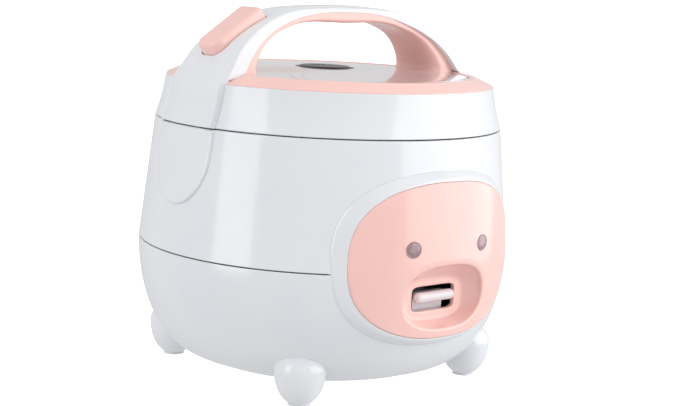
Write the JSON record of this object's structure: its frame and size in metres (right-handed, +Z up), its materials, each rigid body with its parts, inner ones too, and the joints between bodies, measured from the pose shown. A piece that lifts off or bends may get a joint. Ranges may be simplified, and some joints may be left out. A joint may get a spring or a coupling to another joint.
{
  "type": "rice cooker",
  "caption": "Small round rice cooker with feet, a smiling face panel with two lamps and a cook lever, and a carrying strap over its hinged, latched lid.",
  "frame": {"origin": "on the floor at the centre of the four feet", "axes": "+Z up, -Y towards the face panel, +X towards the lid hinge, -X towards the lid button"},
  "size_m": [0.236, 0.2403, 0.233],
  "materials": {
    "white_shell": "gloss moulded ABS",
    "salmon_shell": "gloss moulded ABS, salmon pink",
    "printed_film": "gloss in-mould printed insert",
    "vent_black": "satin moulded plastic",
    "lever_white": "gloss moulded ABS",
    "lens_mauve": "tinted translucent plastic",
    "lid_inner": "satin moulded PP",
    "bare_aluminium": "satin spun sheet",
    "pot_coating": "dark non-stick coating on aluminium",
    "bright_steel": "zinc plated steel",
    "silicone": "milky silicone rubber",
    "element": "annealed steel sheath",
    "brass": "plain brass",
    "ferrite": "sintered ferrite",
    "board": "phenolic board",
    "neon": "small neon lamp",
    "black_plastic": "moulded nylon",
    "ceramic_white": "insulating sleeve"
  },
  "bodies": {
    "housing": {"base_shell": "white_shell", "bottom_cover": "white_shell", "cover_screws": "bright_steel", "foot_screws": "bright_steel", "body_shell": "white_shell", "rim_collar": "white_shell", "pot_well": "bare_aluminium", "well_posts": "lid_inner", "heat_shield": "bright_steel", "heater_plate": "bare_aluminium", "heater_element": "element", "heater_terminals": "brass", "heater_spacers": "ceramic_white", "thermostat_guide": "bright_steel", "thermostat_spring": "bright_steel", "thermal_fuse": "ceramic_white", "warm_thermostat": "black_plastic", "face_panel": "salmon_shell", "face_bezel": "white_shell", "lens_cook": "lens_mauve", "lens_warm": "lens_mauve", "indicator_board": "board", "lamp_cook": "neon", "lamp_warm": "neon", "lever_pin": "bright_steel", "lever_bracket": "bright_steel", "micro_switch": "black_plastic", "power_inlet": "black_plastic", "inlet_blades": "brass", "hinge_bracket": "white_shell", "hinge_pin": "bright_steel", "hinge_spring": "bright_steel", "latch_strike": "bright_steel", "foot_left_front": "white_shell", "foot_left_back": "white_shell", "foot_right_front": "white_shell", "foot_right_back": "white_shell"},
    "thermostat": {"thermostat_cup": "bare_aluminium", "thermostat_ferrite": "ferrite"},
    "magnet": {"magnet": "ferrite", "magnet_rod": "bright_steel"},
    "pot": {"inner_pot": "pot_coating"},
    "lever": {"cook_lever": "lever_white"},
    "lid": {"hinge_arm": "white_shell", "hinge_screws": "bright_steel", "lid_skirt": "white_shell", "lid_top": "salmon_shell", "lid_insert": "printed_film", "lid_liner": "lid_inner", "inner_lid_plate": "bare_aluminium", "lid_gasket": "silicone", "steam_tube": "lid_inner", "handle_core": "salmon_shell", "handle_cover": "white_shell", "strap_screws": "bright_steel", "hook_pin": "bright_steel", "latch_spring": "bright_steel"},
    "vent": {"steam_cap": "vent_black"},
    "button": {"latch_button": "salmon_shell"},
    "hook": {"latch_hook": "lid_inner"}
  },
  "joints": [
    {"name": "lid_hinge", "type": "hinge", "parent": "housing", "child": "lid", "pos_m": [0.111, 0, 0.155], "axis": [0, 1, 0], "range_deg": [0, 80]},
    {"name": "button_press", "type": "slide", "parent": "lid", "child": "button", "axis": [0.5671, 0, -0.8236], "range_m": [0, 0.0025], "stiffness_N_per_m": 900, "springref_m": -0.002},
    {"name": "hook_turn", "type": "hinge", "parent": "lid", "child": "hook", "pos_m": [-0.0975, 0, 0.176], "axis": [0, 1, 0], "range_deg": [0, 7]},
    {"name": "cook_lever_press", "type": "hinge", "parent": "housing", "child": "lever", "pos_m": [0, -0.058, 0.036], "axis": [1, 0, 0], "range_deg": [0, 4.3]},
    {"name": "magnet_lift", "type": "slide", "parent": "housing", "child": "magnet", "axis": [0, 0, 1], "range_m": [0, 0.00435]},
    {"name": "thermostat_press", "type": "slide", "parent": "housing", "child": "thermostat", "axis": [0, 0, -1], "range_m": [0, 0.0015], "stiffness_N_per_m": 600, "springref_m": -0.004, "deforming": ["thermostat_spring"]},
    {"name": "pot_turn", "type": "hinge", "parent": "housing", "child": "pot", "pos_m": [0, 0, 0.0573], "axis": [0, 0, 1], "continuous": true},
    {"name": "vent_lift", "type": "slide", "parent": "lid", "child": "vent", "axis": [0, 0, 1], "range_m": [0, 0.014]}
  ],
  "couplings": [
    {"joint": "hook_turn", "follows": "button_press", "rad_per_m": 48.869},
    {"joint": "magnet_lift", "follows": "cook_lever_press", "m_per_rad": 0.057949}
  ]
}
